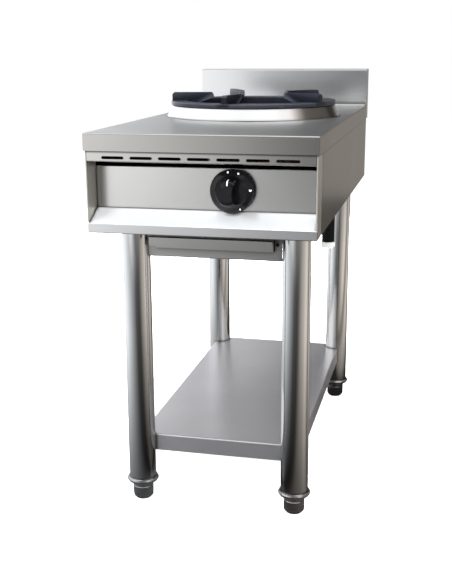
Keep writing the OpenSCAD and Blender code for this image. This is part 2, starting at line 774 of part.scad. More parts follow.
// Pilot: a small burner beside the jets, its copper tube from the valve, and the thermocouple
module pilot_burner() color("goldenrod") {
    rod_z(pilot_x, pilot_y, pilot_z - pilot_hood, pilot_z, pilot_r);
    box([pilot_x - 9, pilot_x + 9], [pilot_y - 6, lead_y + 4],
        [pilot_seat_z - pilot_plate_t, pilot_seat_z]);
    rod_z(pilot_x, pilot_y, pilot_seat_z, pilot_z - pilot_hood, pilot_r - 1);
}

module elbowed_tube(points, r) {
    for (i = [0 : len(points) - 2]) {
        a = points[i];
        b = points[i + 1];
        d = b - a;
        translate(a) rotate([0, acos(d[2] / norm(d)), atan2(d[1], d[0])]) cylinder(h = norm(d), r = r);
        if (i > 0) translate(a) sphere(r = r);
    }
}

module pilot_tube() color("peru") {
    z = burner_z + 2;
    y = valve_mid_y + 8;
    elbowed_tube([[knob_x, y, knob_z - valve_r - shaft_gap], [knob_x, y, z], [pilot_x, y, z],
        [pilot_x, pilot_y - 4, z]], tube_r);
}

module thermocouple() color("peru") {
    z = burner_z + 14;
    x = pilot_x + lead_out;
    y = valve_mid_y + lead_bend;
    elbowed_tube([[knob_x, valve_back_y, knob_z], [knob_x, y, knob_z], [x, y, knob_z], [x, lead_y, knob_z],
        [x, lead_y, z], [pilot_x, lead_y, z]], lead_r);
    rod_z(pilot_x, lead_y, pilot_seat_z, pilot_z + 4, lead_r + 1);
}

// Legs: welded tubes under the base rails
module leg(sx, y) color("silver") difference() {
    rod_z(sx * leg_x, y, leg_z, leg_top_z, leg_r);
    rod_z(sx * leg_x, y, leg_z - 1, leg_top_z + 1, leg_r - leg_wall);
}

// Leg plates: flat plates on top of the legs, bolted to the base rails
module leg_plate(sx, y) color("silver") difference() {
    box([sx * leg_x - plate_w / 2, sx * leg_x + plate_w / 2], [y - plate_l / 2, y + plate_l / 2],
        [leg_top_z, rail_z]);
    for (d = [-1, 1]) rod_z(sx * leg_x, y + d * bolt_off, leg_top_z - 1, rail_z + 1, bolt_r + fit_gap);
}

// Bolts: two through each leg plate and its base rail
module leg_bolts() color("silver")
    for (sx = [-1, 1], y = leg_ys, d = [-1, 1])
        translate([sx * leg_x, y + d * bolt_off, leg_top_z]) {
            translate([0, 0, -bolt_head_h]) cylinder(h = bolt_head_h, r = bolt_head_r, $fn = 6);
            cylinder(h = plate_t + rail_t + 1.5 * bolt_head_h, r = bolt_r);
            translate([0, 0, plate_t + rail_t]) cylinder(h = bolt_head_h, r = bolt_head_r, $fn = 6);
        }

// Foot sockets: flanged plugs pressed into the legs, bored for the feet
module foot_socket(sx, y) color("gray") translate([sx * leg_x, y, 0]) difference() {
    rotate_extrude()
        polygon([[0, socket_bottom_z], [foot_r - 0.5, socket_bottom_z], [foot_r + 1.5, socket_bottom_z + 4],
            [socket_r - 2, leg_z - 9], [socket_r, leg_z - 6], [socket_r, leg_z - 4],
            [socket_r - 1.5, leg_z - 1], [socket_r - 3, leg_z], [leg_bore_r, leg_z],
            [leg_bore_r, leg_z + socket_l], [0, leg_z + socket_l]]);
    rod_z(0, 0, socket_bottom_z - 1, leg_z + socket_l + 1, foot_stem_r + shaft_gap);
}

// Feet: round pads with spanner flats, on threaded stems
module foot(sx, y) color("dimgray") translate([sx * leg_x, y, 0]) {
    top = socket_bottom_z - slide_gap;
    intersection() {
        rotate_extrude()
            polygon([[0, 0], [foot_r - 5, 0], [foot_r - 0.5, 5], [foot_r, 8], [foot_r, top - 2],
                [foot_r - 1.5, top], [0, top]]);
        union() {
            cylinder(h = foot_hex_h, r = foot_r * 1.06, $fn = 6);
            translate([0, 0, foot_hex_h]) cylinder(h = top, r = foot_r + 1);
        }
    }
    rod_z(0, 0, top - 1, leg_z + foot_travel + foot_hold, foot_stem_r);
}

// Undershelf: a folded sheet let in round the legs at its corners
module shelf_block(inset) {
    bottom_z = shelf_z - shelf_edge_h + inset;
    length = shelf_ys[1] - shelf_ys[0];
    intersection() {
        along_y(shelf_ys[0] + inset, shelf_ys[1] - inset)
            translate([0, bottom_z])
                round_topped(2 * (shelf_x - inset), shelf_edge_h - 2 * inset, fold_r - inset);
        along_x(-shelf_x, shelf_x)
            translate([(shelf_ys[0] + shelf_ys[1]) / 2, bottom_z])
                round_topped(length - 2 * inset, shelf_edge_h - 2 * inset, fold_r - inset);
    }
}

module undershelf() color("darkgray") difference() {
    ys = shelf_ys;
    shelf_block(0);
    shelf_block(sheet_t);
    box([shelf_return - shelf_x, shelf_x - shelf_return], [ys[0] + shelf_return, ys[1] - shelf_return],
        [shelf_z - shelf_edge_h - 1, shelf_z - sheet_t]);
    for (sx = [-1, 1], y = leg_ys)
        rod_z(sx * leg_x, y, shelf_z - shelf_edge_h - 1, shelf_z + 1, leg_r + fit_gap);
}

// Cross rails: channels welded between the legs; the front one has a window for the tray
module cross_rail(y, s) {
    z0 = leg_top_z - cross_h;
    difference() {
        along_x(-leg_x, leg_x)
            folded([[y + s * cross_flange, leg_top_z - fit_gap], [y, leg_top_z - fit_gap], [y, z0],
                [y + s * cross_flange, z0]], s * cross_t, cross_t + 0.4);
        for (sx = [-1, 1], ly = leg_ys) rod_z(sx * leg_x, ly, z0 - 1, leg_top_z + 1, leg_r + fit_gap);
    }
}

module cross_rail_front() color("darkgray") difference() {
    cross_rail(cross_front_y, 1);
    box([-tray_w / 2 - tray_gap, tray_w / 2 + tray_gap], [cross_front_y - 1, cross_front_y + cross_t + 1],
        [tray_z - tray_gap, tray_top_z + tray_gap]);
}

module cross_rail_back() color("darkgray") cross_rail(cross_back_y, -1);

// Tray runners: angles between the cross rails, on which the tray slides
module tray_runner(s) color("darkgray") mirror([s < 0 ? 1 : 0, 0, 0])
    along_y(cross_front_y + cross_t + fit_gap, cross_back_y - cross_t - fit_gap)
        folded([[tray_w / 2 + tray_gap - runner_w, tray_z - slide_gap - cross_t],
            [tray_w / 2 + tray_gap + cross_t, tray_z - slide_gap - cross_t],
            [tray_w / 2 + tray_gap + cross_t, tray_top_z]], cross_t, cross_t + 0.3);

// Drip tray: a folded pan with a grip turned forward and down along its front
module drip_tray() color("darkgray") {
    difference() {
        box([-tray_w / 2, tray_w / 2], [tray_front_y, tray_front_y + tray_l], [tray_z, tray_top_z]);
        box([tray_t - tray_w / 2, tray_w / 2 - tray_t],
            [tray_front_y + tray_t, tray_front_y + tray_l - tray_t], [tray_z + tray_t, tray_top_z + 1]);
    }
    along_x(-tray_w / 2 - grip_over, tray_w / 2 + grip_over)
        folded([[tray_front_y + tray_t, tray_top_z], [grip_y, tray_top_z], [grip_y, tray_top_z - grip_h]],
            tray_t, tray_t + 1);
}

worktop();
splashback();
wok_collar();
wok_ring();
side_panel(-1);  // side_panel_left
side_panel(1);  // side_panel_right
front_cheek(-1);  // front_cheek_left
front_cheek(1);  // front_cheek_right
vent_strip();
control_panel();
front_ledge();
back_panel();
base_rail(-1);  // base_rail_left
base_rail(1);  // base_rail_right
flame_drum();
burner_body();
burner_jets();
burner_support();
mixing_tube();
air_shutter();
injector();
feed_pipe();
gas_valve();
valve_plunger();
valve_stem();
knob();
valve_pipe();
supply_elbow();
supply_pipe();
inlet_elbow();
inlet_pipe();
inlet_locknuts();
inlet_plug();
pilot_burner();
pilot_tube();
thermocouple();
leg(-1, leg_ys[0]);  // leg_front_left
leg(1, leg_ys[0]);  // leg_front_right
leg(-1, leg_ys[1]);  // leg_back_left
leg(1, leg_ys[1]);  // leg_back_right
leg_plate(-1, leg_ys[0]);  // leg_plate_front_left
leg_plate(1, leg_ys[0]);  // leg_plate_front_right
leg_plate(-1, leg_ys[1]);  // leg_plate_back_left
leg_plate(1, leg_ys[1]);  // leg_plate_back_right
foot_socket(-1, leg_ys[0]);  // foot_socket_front_left
foot_socket(1, leg_ys[0]);  // foot_socket_front_right
foot_socket(-1, leg_ys[1]);  // foot_socket_back_left
foot_socket(1, leg_ys[1]);  // foot_socket_back_right
foot(-1, leg_ys[0]);  // foot_front_left
foot(1, leg_ys[0]);  // foot_front_right
foot(-1, leg_ys[1]);  // foot_back_left
foot(1, leg_ys[1]);  // foot_back_right
leg_bolts();
undershelf();
cross_rail_front();
cross_rail_back();
tray_runner(-1);  // tray_runner_left
tray_runner(1);  // tray_runner_right
drip_tray();
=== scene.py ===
# Single gas wok burner on a tubular stand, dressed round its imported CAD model.
# The sections follow the stand and the casing as they are put together.
import math

import bmesh
import bpy
from mathutils import Matrix, Vector


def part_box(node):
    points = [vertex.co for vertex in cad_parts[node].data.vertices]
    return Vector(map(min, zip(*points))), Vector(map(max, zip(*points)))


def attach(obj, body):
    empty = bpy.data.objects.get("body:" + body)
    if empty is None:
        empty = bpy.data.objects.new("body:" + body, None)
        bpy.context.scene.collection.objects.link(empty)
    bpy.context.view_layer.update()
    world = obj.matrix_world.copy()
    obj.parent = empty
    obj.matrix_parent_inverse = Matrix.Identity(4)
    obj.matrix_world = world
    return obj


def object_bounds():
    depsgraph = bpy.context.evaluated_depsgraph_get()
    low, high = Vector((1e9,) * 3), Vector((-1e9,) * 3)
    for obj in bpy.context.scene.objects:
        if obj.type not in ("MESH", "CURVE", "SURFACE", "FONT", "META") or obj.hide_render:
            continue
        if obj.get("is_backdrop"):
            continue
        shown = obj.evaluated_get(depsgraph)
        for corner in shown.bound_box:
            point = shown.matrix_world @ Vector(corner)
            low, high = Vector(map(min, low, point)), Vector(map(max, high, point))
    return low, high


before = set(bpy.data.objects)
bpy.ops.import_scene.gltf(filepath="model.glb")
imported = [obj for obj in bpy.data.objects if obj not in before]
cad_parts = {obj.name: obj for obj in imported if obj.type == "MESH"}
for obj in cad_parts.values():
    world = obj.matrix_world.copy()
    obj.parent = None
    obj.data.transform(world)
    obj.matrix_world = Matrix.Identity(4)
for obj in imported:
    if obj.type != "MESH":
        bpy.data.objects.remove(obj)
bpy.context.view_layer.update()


# Legs: four polished stainless tubes of 51 mm. Each is drawn and polished along its length,
# which leaves fine streaks, and is welded under a flat plate that is bolted to the casing.
CORNERS = ("front_left", "front_right", "back_left", "back_right")
MOTTLE_SCALE = (5, 5, 5)
GRAIN_DETAIL = 4.0
GRAIN_SPREAD = 0.004
GRAIN_HEIGHT = 0.00001
# Painted shade: ambient occlusion darkens the steels' colour in their seams and corners.
CREVICE_SHADE_SAMPLES = 10
CREVICE_SHADE_RAMP = (0.5, 0.98)


def new_material(name, metallic, specular=0.5):
    """A node material, its tree and its shader."""
    material = bpy.data.materials.new(name)
    material.use_nodes = True
    shader = material.node_tree.nodes["Principled BSDF"]
    shader.inputs["Metallic"].default_value = metallic
    shader.inputs["Specular IOR Level"].default_value = specular
    return material, material.node_tree, shader


def noise(tree, scale, detail=3.0):
    """A noise with its own number of waves in a metre along each axis."""
    place = tree.nodes.new("ShaderNodeTexCoord")
    stretch = tree.nodes.new("ShaderNodeMapping")
    stretch.inputs["Scale"].default_value = scale
    texture = tree.nodes.new("ShaderNodeTexNoise")
    texture.inputs["Scale"].default_value = 1.0
    texture.inputs["Detail"].default_value = detail
    tree.links.new(place.outputs["Object"], stretch.inputs["Vector"])
    tree.links.new(stretch.outputs["Vector"], texture.inputs["Vector"])
    return texture.outputs["Fac"]


def graded(tree, factor, low, high, start=0.35, end=0.65):
    """A ramp from low to high, which are numbers or colours, as the factor goes from start to end."""
    ramp = tree.nodes.new("ShaderNodeValToRGB")
    for element, position, value in zip(ramp.color_ramp.elements, (start, end), (low, high)):
        element.position = position
        element.color = (*value, 1) if isinstance(value, tuple) else (value, value, value, 1)
    tree.links.new(factor, ramp.inputs["Fac"])
    return ramp.outputs["Color"]


def multiplied(tree, first, second):
    """The product of two vectors or colours."""
    product = tree.nodes.new("ShaderNodeVectorMath")
    product.operation = "MULTIPLY"
    tree.links.new(first, product.inputs[0])
    tree.links.new(second, product.inputs[1])
    return product.outputs["Vector"]


def raised(tree, factor, shader, strength, distance):
    """Roughens the surface by a height that follows the factor."""
    bump = tree.nodes.new("ShaderNodeBump")
    bump.inputs["Strength"].default_value = strength
    bump.inputs["Distance"].default_value = distance
    tree.links.new(factor, bump.inputs["Height"])
    tree.links.new(bump.outputs["Normal"], shader.inputs["Normal"])


def shaded_in_crevices(tree, colour, depth, reach):
    """The colour with painted shade: darkened down to depth in seams and corners that are closer than
    reach.
    """
    corner = tree.nodes.new("ShaderNodeAmbientOcclusion")
    corner.samples = CREVICE_SHADE_SAMPLES
    corner.inputs["Distance"].default_value = reach
    return multiplied(tree, colour, graded(tree, corner.outputs["AO"], depth, 1.0, *CREVICE_SHADE_RAMP))


def steel(name, dark, light, rough, grain, strength=0.012, depth=0.3, reach=0.006, metallic=1.0):
    """Metal with a faint mottle, painted shade in its seams and corners, and a grain that is a noise
    stretched along the way it was brushed.
    """
    material, tree, shader = new_material(name, metallic)
    mottle = graded(tree, noise(tree, MOTTLE_SCALE), dark, light)
    tree.links.new(shaded_in_crevices(tree, mottle, depth, reach), shader.inputs["Base Color"])
    streaks = noise(tree, grain, GRAIN_DETAIL)
    brushed = graded(tree, streaks, rough - GRAIN_SPREAD, rough + GRAIN_SPREAD)
    tree.links.new(brushed, shader.inputs["Roughness"])
    raised(tree, streaks, shader, strength, GRAIN_HEIGHT)
    return material


def paint(material, *names):
    """Gives the CAD nodes of these names the material."""
    for name in names:
        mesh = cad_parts[name].data
        mesh.materials.clear()
        mesh.materials.append(material)


LEG_POLISH = steel("polished leg tube", dark=(0.68, 0.69, 0.7), light=(0.74, 0.74, 0.73),
                   rough=0.15, grain=(1500, 1500, 5), strength=0.03)
PLATE_STEEL = steel("leg plate", dark=(0.5, 0.5, 0.49), light=(0.58, 0.58, 0.56),
                    rough=0.4, grain=(900, 20, 900))
paint(LEG_POLISH, *["leg_" + corner for corner in CORNERS])
paint(PLATE_STEEL, *["leg_plate_" + corner for corner in CORNERS])


# Welds: a rippled bead runs round each leg under its plate. It is left as laid,
# with the straw and blue tint of the heat.
BEAD_R = 0.0018
BEAD_RIPPLES = 60
BEAD_SWELL = 0.12
BEAD_STEPS = 240
BEAD_SIDES = 8


def skin(form, rings, smooth):
    """Lays four-sided faces between each ring of corners and the next."""
    for ring, following in zip(rings, rings[1:]):
        for side in range(len(ring)):
            other = (side + 1) % len(ring)
            face = form.faces.new((ring[side], ring[other], following[other], following[side]))
            face.smooth = smooth


def finished(form, name):
    """Turns the form's faces outward and makes it a mesh."""
    bmesh.ops.recalc_face_normals(form, faces=form.faces)
    mesh = bpy.data.meshes.new(name)
    form.to_mesh(mesh)
    form.free()
    return mesh


def add_piece(name, mesh, material, body):
    """Adds a piece that rides on a body of the frame."""
    piece = bpy.data.objects.new(name, mesh)
    bpy.context.scene.collection.objects.link(piece)
    mesh.materials.append(material)
    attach(piece, body)


def bead_mesh(name, centre, radius):
    """A ring of weld that swells and thins as it goes round."""
    form = bmesh.new()
    rings = []
    for step in range(BEAD_STEPS):
        turn = 2 * math.pi * step / BEAD_STEPS
        fat = BEAD_R * (1 + BEAD_SWELL * math.sin(BEAD_RIPPLES * turn))
        ring = []
        for side in range(BEAD_SIDES):
            lean = 2 * math.pi * side / BEAD_SIDES
            reach = radius + fat * math.cos(lean)
            point = Vector((reach * math.cos(turn), reach * math.sin(turn), fat * math.sin(lean)))
            ring.append(form.verts.new(centre + point))
        rings.append(ring)
    skin(form, rings + rings[:1], smooth=True)
    return finished(form, name)


WELD_TINT = steel("heat-tinted weld", dark=(0.5, 0.42, 0.3), light=(0.5, 0.52, 0.58),
                  rough=0.36, grain=(160, 160, 160))
for corner in CORNERS:
    name = "leg_weld_" + corner
    low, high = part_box("leg_" + corner)
    middle = Vector(((low.x + high.x) / 2, (low.y + high.y) / 2, high.z - BEAD_R))
    bead = bead_mesh(name, middle, radius=(high.x - low.x) / 2)
    add_piece(name, bead, WELD_TINT, "stand")


# Feet: turned and plated levelling feet in flanged sockets, darker than the tubes,
# with spanner flats that carry light scratches.
FOOT_METAL = steel("plated foot", dark=(0.4, 0.4, 0.41), light=(0.55, 0.55, 0.56),
                   rough=0.2, grain=(60, 60, 900), strength=0.1)
SOCKET_METAL = steel("foot socket", dark=(0.46, 0.46, 0.46), light=(0.56, 0.56, 0.55),
                     rough=0.24, grain=(60, 60, 900), strength=0.1)
paint(FOOT_METAL, *["foot_" + corner for corner in CORNERS])
paint(SOCKET_METAL, *["foot_socket_" + corner for corner in CORNERS])


# Undershelf: one stainless sheet with its edges folded down, let in round the legs.
# Its grain runs across the unit, and its upper face is hazed by use.
GRAIN_ACROSS = (8, 1600, 1600)
RISE_RAMP = (0.45, 0.8)


def by_rise(material, level, upward):
    """A value that changes from level, on upright faces, to upward, on faces that look up."""
    tree = material.node_tree
    surface = tree.nodes.new("ShaderNodeNewGeometry")
    rise = tree.nodes.new("ShaderNodeSeparateXYZ")
    tree.links.new(surface.outputs["Normal"], rise.inputs["Vector"])
    return graded(tree, rise.outputs["Z"], level, upward, *RISE_RAMP)


def feed(material, socket, value):
    """Lets the value set one of the shader's sockets."""
    tree = material.node_tree
    tree.links.new(value, tree.nodes["Principled BSDF"].inputs[socket])


SHELF_STEEL = steel("undershelf sheet", dark=(0.68, 0.67, 0.7), light=(0.73, 0.72, 0.74),
                    rough=0.3, grain=GRAIN_ACROSS)
feed(SHELF_STEEL, "Metallic", by_rise(SHELF_STEEL, level=0.92, upward=0.9))
paint(SHELF_STEEL, "undershelf")


# Rails: folded channels between the legs and in the casing's bottom, the tray's angles
# and the burner's strap, in the same sheet with a coarser finish.
# The rails' wide reach paints a broad shadow on them under the tray's grip.
RAIL_STEEL = steel("rail sheet", dark=(0.58, 0.58, 0.56), light=(0.66, 0.66, 0.64),
                   rough=0.34, grain=(10, 1400, 1400), strength=0.02, depth=0.25, reach=0.03)
paint(RAIL_STEEL, "cross_rail_front", "cross_rail_back", "tray_runner_left", "tray_runner_right",
      "base_rail_left", "base_rail_right", "burner_support")


# Screws: dark button-head screws hold the front cross rail's ears, and bright ones the back panel.
# Each head is turned, with a socket sunk in its top. The profile goes from the socket's floor
# to the rim, with each radius and height as a share of the head's radius.
SCREW_R = 0.0032
SCREW_PROFILE = ((0.42, 0.25), (0.46, 0.62), (0.6, 0.6), (0.86, 0.4), (1.0, 0.14), (1.0, -0.1))
SCREW_SIDES = 24
EAR_SCREW_OUT = 0.0032
EAR_SCREW_RISE = 0.012
BACK_SCREW_IN = 0.01
BACK_SCREW_ROWS = (("low", 0.565), ("middle", 0.62), ("high", 0.672))
HANDS = (("left", -1), ("right", 1))
FRONTWARD = Vector((0, -1, 0))
BACKWARD = Vector((0, 1, 0))
UPWARD = Vector((0, 0, 1))


def turned_rings(form, profile, sides, centre, axis):
    """Rings of corners for a profile of radii and heights, turned round an axis through the centre."""
    tilt = UPWARD.rotation_difference(axis).to_matrix()
    rings = []
    for reach, height in profile:
        ring = []
        for side in range(sides):
            turn = 2 * math.pi * side / sides
            point = Vector((reach * math.cos(turn), reach * math.sin(turn), height))
            ring.append(form.verts.new(centre + tilt @ point))
        rings.append(ring)
    return rings


def screw_mesh(name, centre, axis):
    """A screw's head that looks along the axis."""
    form = bmesh.new()
    profile = [(SCREW_R * reach, SCREW_R * height) for reach, height in SCREW_PROFILE]
    rings = turned_rings(form, profile, SCREW_SIDES, centre, axis)
    skin(form, rings, smooth=True)
    socket_rim = rings[0]
    socket_floor = form.verts.new(centre + axis * profile[0][1])
    for side in range(SCREW_SIDES):
        other = (side + 1) % SCREW_SIDES
        form.faces.new((socket_floor, socket_rim[other], socket_rim[side]))
    return finished(form, name)


DARK_SCREW = steel("dark screw", dark=(0.05, 0.05, 0.05), light=(0.09, 0.09, 0.09),
                   rough=0.42, grain=(300, 300, 300))
BRIGHT_SCREW = steel("bright screw", dark=(0.5, 0.5, 0.5), light=(0.62, 0.62, 0.62),
                     rough=0.3, grain=(300, 300, 300))
rail_low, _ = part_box("cross_rail_front")
tray_low, tray_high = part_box("drip_tray")
for hand, side in HANDS:
    name = "ear_screw_" + hand
    place = Vector((side * (tray_high.x + EAR_SCREW_OUT), rail_low.y, tray_low.z + EAR_SCREW_RISE))
    add_piece(name, screw_mesh(name, place, FRONTWARD), DARK_SCREW, "stand")
_, panel_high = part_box("back_panel")
for hand, side in HANDS:
    for row, height in BACK_SCREW_ROWS:
        name = f"back_screw_{row}_{hand}"
        place = Vector((side * (panel_high.x - BACK_SCREW_IN), panel_high.y, height))
        add_piece(name, screw_mesh(name, place, BACKWARD), BRIGHT_SCREW, "stand")


# Casing: side panels, cheeks, back panel, vent strip and control panel, folded from satin sheet.
# The side panels are brushed along the unit's depth, the cheeks upright and the others across.
# Their faces that look into the unit carry painted shade, and the sheets under the worktop a painted
# shadow line.
GRAIN_DEEP = (1600, 8, 1600)
GRAIN_UPRIGHT = (1600, 1600, 8)
# Painted shade for the faces that look into the unit.
INSIDE_SHADE = 0.1
INSIDE_SHADE_RAMP = (0.0, 0.05)
# Painted shadow: a dark line on the sheets just under the worktop's folded edge.
SEAM_SHADOW = 0.22
SEAM_REACH = (0.0042, 0.0022)
SEAM_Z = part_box("worktop")[0].z


def tinted(material, factor):
    """Multiplies the material's colour by the factor."""
    tree = material.node_tree
    base = tree.nodes["Principled BSDF"].inputs["Base Color"]
    feed(material, "Base Color", multiplied(tree, base.links[0].from_socket, factor))


def shade_inside(material, axis):
    """Paints shade on the faces that look to the middle of the unit, along one axis, darkening them to a
    tenth.
    """
    tree = material.node_tree
    surface = tree.nodes.new("ShaderNodeNewGeometry")
    outward = tree.nodes.new("ShaderNodeSeparateXYZ")
    tree.links.new(multiplied(tree, surface.outputs["Normal"], surface.outputs["Position"]),
                   outward.inputs["Vector"])
    tinted(material, graded(tree, outward.outputs[axis], INSIDE_SHADE, 1.0, *INSIDE_SHADE_RAMP))


def painted_seam_shadow(material):
    """Paints a shadow line just under the worktop's folded edge, where it overhangs the sheet below."""
    tree = material.node_tree
    surface = tree.nodes.new("ShaderNodeNewGeometry")
    height = tree.nodes.new("ShaderNodeSeparateXYZ")
    tree.links.new(surface.outputs["Position"], height.inputs["Vector"])
    start, end = [SEAM_Z - reach for reach in SEAM_REACH]
    tinted(material, graded(tree, height.outputs["Z"], 1.0, SEAM_SHADOW, start, end))


SIDE_STEEL = steel("side panel sheet", dark=(0.58, 0.57, 0.55), light=(0.62, 0.61, 0.59),
                   rough=0.26, grain=GRAIN_DEEP)
shade_inside(SIDE_STEEL, "X")
painted_seam_shadow(SIDE_STEEL)
paint(SIDE_STEEL, "side_panel_left", "side_panel_right")
CHEEK_STEEL = steel("cheek sheet", dark=(0.45, 0.43, 0.385), light=(0.5, 0.48, 0.43),
                    rough=0.3, grain=GRAIN_UPRIGHT, metallic=0.8)
painted_seam_shadow(CHEEK_STEEL)
paint(CHEEK_STEEL, "front_cheek_left", "front_cheek_right")
FRONT_STEEL = steel("front sheet", dark=(0.75, 0.75, 0.74), light=(0.79, 0.79, 0.78),
                    rough=0.26, grain=GRAIN_ACROSS)
shade_inside(FRONT_STEEL, "Y")
paint(FRONT_STEEL, "control_panel", "back_panel")
STRIP_STEEL = steel("vent strip sheet", dark=(0.58, 0.57, 0.55), light=(0.62, 0.61, 0.59),
                    rough=0.22, grain=GRAIN_ACROSS)
shade_inside(STRIP_STEEL, "Y")
painted_seam_shadow(STRIP_STEEL)
paint(STRIP_STEEL, "vent_strip")


# Ledge: the lip and the slope under the knob, folded from one sheet. The lip is satin steel. The slope
# is painted whiter and less metallic, so that it scatters the light from the front: a painted highlight.
LEDGE_STEEL = steel("ledge sheet", dark=(0.9, 0.91, 0.925), light=(0.96, 0.97, 0.985),
                    rough=0.14, grain=GRAIN_ACROSS)
# Painted highlight: faces that look up are whiter and less metallic than the upright lip.
feed(LEDGE_STEEL, "Metallic", by_rise(LEDGE_STEEL, level=1.0, upward=0.5))
tinted(LEDGE_STEEL, by_rise(LEDGE_STEEL, level=0.78, upward=1.0))
paint(LEDGE_STEEL, "front_ledge")


# Bolts, locknuts, air shutter, and the valve's plunger and stem: turned or pressed from steel
# and plated with zinc, which leaves a slightly cloudy finish.
PLATED_STEEL = steel("zinc plating", dark=(0.55, 0.56, 0.58), light=(0.66, 0.66, 0.66),
                     rough=0.35, grain=(90, 90, 90))
paint(PLATED_STEEL, "leg_bolts", "inlet_locknuts", "air_shutter", "valve_plunger", "valve_stem")


# Gas train: black malleable pipe and elbows from the inlet to the valve, screwed together.
# The inlet's end is threaded, with fine ridges for the hose's socket.
THREAD_L = 0.0178
THREAD_ROOT_R = 0.01321
THREAD_DEPTH = 0.0003
THREAD_RIDGES = 10
THREAD_SIDES = 48
COAT_DETAIL = 5.0
COAT_HEIGHT = 0.0003


def painted(name, dark, light, rough, scale, strength, specular=0.5):
    """Paint or plastic with an even grain, which also varies its gloss between two values."""
    material, tree, shader = new_material(name, 0.0, specular)
    grain = noise(tree, (scale, scale, scale), COAT_DETAIL)
    tree.links.new(graded(tree, grain, dark, light), shader.inputs["Base Color"])
    tree.links.new(graded(tree, grain, *rough), shader.inputs["Roughness"])
    raised(tree, grain, shader, strength, COAT_HEIGHT)
    return material


def thread_mesh(name, foot):
    """Ridges round the pipe, from its foot up."""
    form = bmesh.new()
    steps = 2 * THREAD_RIDGES
    profile = [(THREAD_ROOT_R + THREAD_DEPTH * (step % 2), THREAD_L * step / steps)
               for step in range(steps + 1)]
    skin(form, turned_rings(form, profile, THREAD_SIDES, foot, UPWARD), smooth=False)
    return finished(form, name)


BLACK_PIPE = painted("black pipe", dark=(0.0025, 0.0025, 0.0025), light=(0.006, 0.006, 0.0055),
                     rough=(0.4, 0.55), scale=220, strength=0.25, specular=0.1)
paint(BLACK_PIPE, "valve_pipe", "supply_elbow", "supply_pipe", "inlet_elbow", "inlet_pipe")
pipe_low, pipe_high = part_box("inlet_pipe")
pipe_foot = Vector(((pipe_low.x + pipe_high.x) / 2, (pipe_low.y + pipe_high.y) / 2, pipe_low.z))
add_piece("inlet_thread", thread_mesh("inlet_thread", pipe_foot), BLACK_PIPE, "stand")


# Transit plug: moulded from white plastic and pushed into the open end of the inlet pipe,
# to keep dirt out until the hose is fitted.
WHITE_PLASTIC = painted("white plug", dark=(0.56, 0.56, 0.55), light=(0.62, 0.62, 0.61),
                        rough=(0.4, 0.5), scale=60, strength=0.05)
paint(WHITE_PLASTIC, "inlet_plug")


# Valve, injector, feed pipe, jets and pilot burner: turned and forged from brass.
# The pilot's tube and the thermocouple are copper, darkened by the heat.
BRASS = steel("brass", dark=(0.6, 0.43, 0.17), light=(0.72, 0.54, 0.25),
              rough=0.31, grain=(120, 120, 120))
COPPER = steel("copper tube", dark=(0.2, 0.11, 0.07), light=(0.3, 0.17, 0.11),
               rough=0.4, grain=(90, 90, 90))
paint(BRASS, "gas_valve", "injector", "feed_pipe", "burner_jets", "pilot_burner")
paint(COPPER, "pilot_tube", "thermocouple")


# Burner: a gas chamber and a mixing tube of sand-cast iron, inside a drum of sheet
# that is coloured near-black.
IRON_METALLIC = 0.1
IRON_ROUGH = (0.32, 0.46)
SAND_SCALE = (420, 420, 420)
SAND_DETAIL = 6.0
SAND_STRENGTH = 0.35
SAND_HEIGHT = 0.0004
HOLLOW_POINT = 0.46
PLAIN_POINT = 0.53
# Edges are lighter, for wear and a painted highlight.
WEAR_AND_GLINT_POINT = 0.6
# Painted shade: ambient occlusion cuts the iron's shine deep inside its hollows.
DEEP_SHADE_REACH = 0.35
DEEP_SHADE_SHINE = 0.03
DEEP_SHADE_RAMP = (0.55, 0.9)


def cast_iron(name, dark, light, wear_and_glint):
    """Iron that is dark in its hollows and lighter at its edges, for wear and a painted highlight, with
    painted shade deep inside that cuts its shine.
    """
    material, tree, shader = new_material(name, IRON_METALLIC)
    surface = tree.nodes.new("ShaderNodeNewGeometry")
    edges = graded(tree, surface.outputs["Pointiness"], dark, wear_and_glint, HOLLOW_POINT, WEAR_AND_GLINT_POINT)
    edges.node.color_ramp.elements.new(PLAIN_POINT).color = (*light, 1)
    tree.links.new(edges, shader.inputs["Base Color"])
    inside = tree.nodes.new("ShaderNodeAmbientOcclusion")
    inside.inputs["Distance"].default_value = DEEP_SHADE_REACH
    shine = graded(tree, inside.outputs["AO"], DEEP_SHADE_SHINE, 1.0, *DEEP_SHADE_RAMP)
    tree.links.new(shine, shader.inputs["Specular IOR Level"])
    sand = noise(tree, SAND_SCALE, SAND_DETAIL)
    tree.links.new(graded(tree, sand, *IRON_ROUGH), shader.inputs["Roughness"])
    raised(tree, sand, shader, SAND_STRENGTH, SAND_HEIGHT)
    return material


BURNER_IRON = cast_iron("burner iron", dark=(0.008, 0.008, 0.009), light=(0.014, 0.0135, 0.0135),
                        wear_and_glint=(0.03, 0.029, 0.0275))
DRUM_BLACK = painted("near-black drum", dark=(0.004, 0.004, 0.004), light=(0.012, 0.011, 0.01),
                    rough=(0.6, 0.8), scale=60, strength=0.2, specular=0.2)
paint(BURNER_IRON, "burner_body", "mixing_tube")
paint(DRUM_BLACK, "flame_drum")


# Worktop and splashback: satin stainless sheet, folded at the edges and brushed across the width.
# The splashback stands at the worktop's back.
APRON_SHADE = (0.68, 0.66, 0.63)
NO_TINT = (1.0, 1.0, 1.0)
TOP_STEEL = steel("worktop sheet", dark=(0.74, 0.745, 0.75), light=(0.79, 0.795, 0.8),
                  rough=0.3, grain=GRAIN_ACROSS)
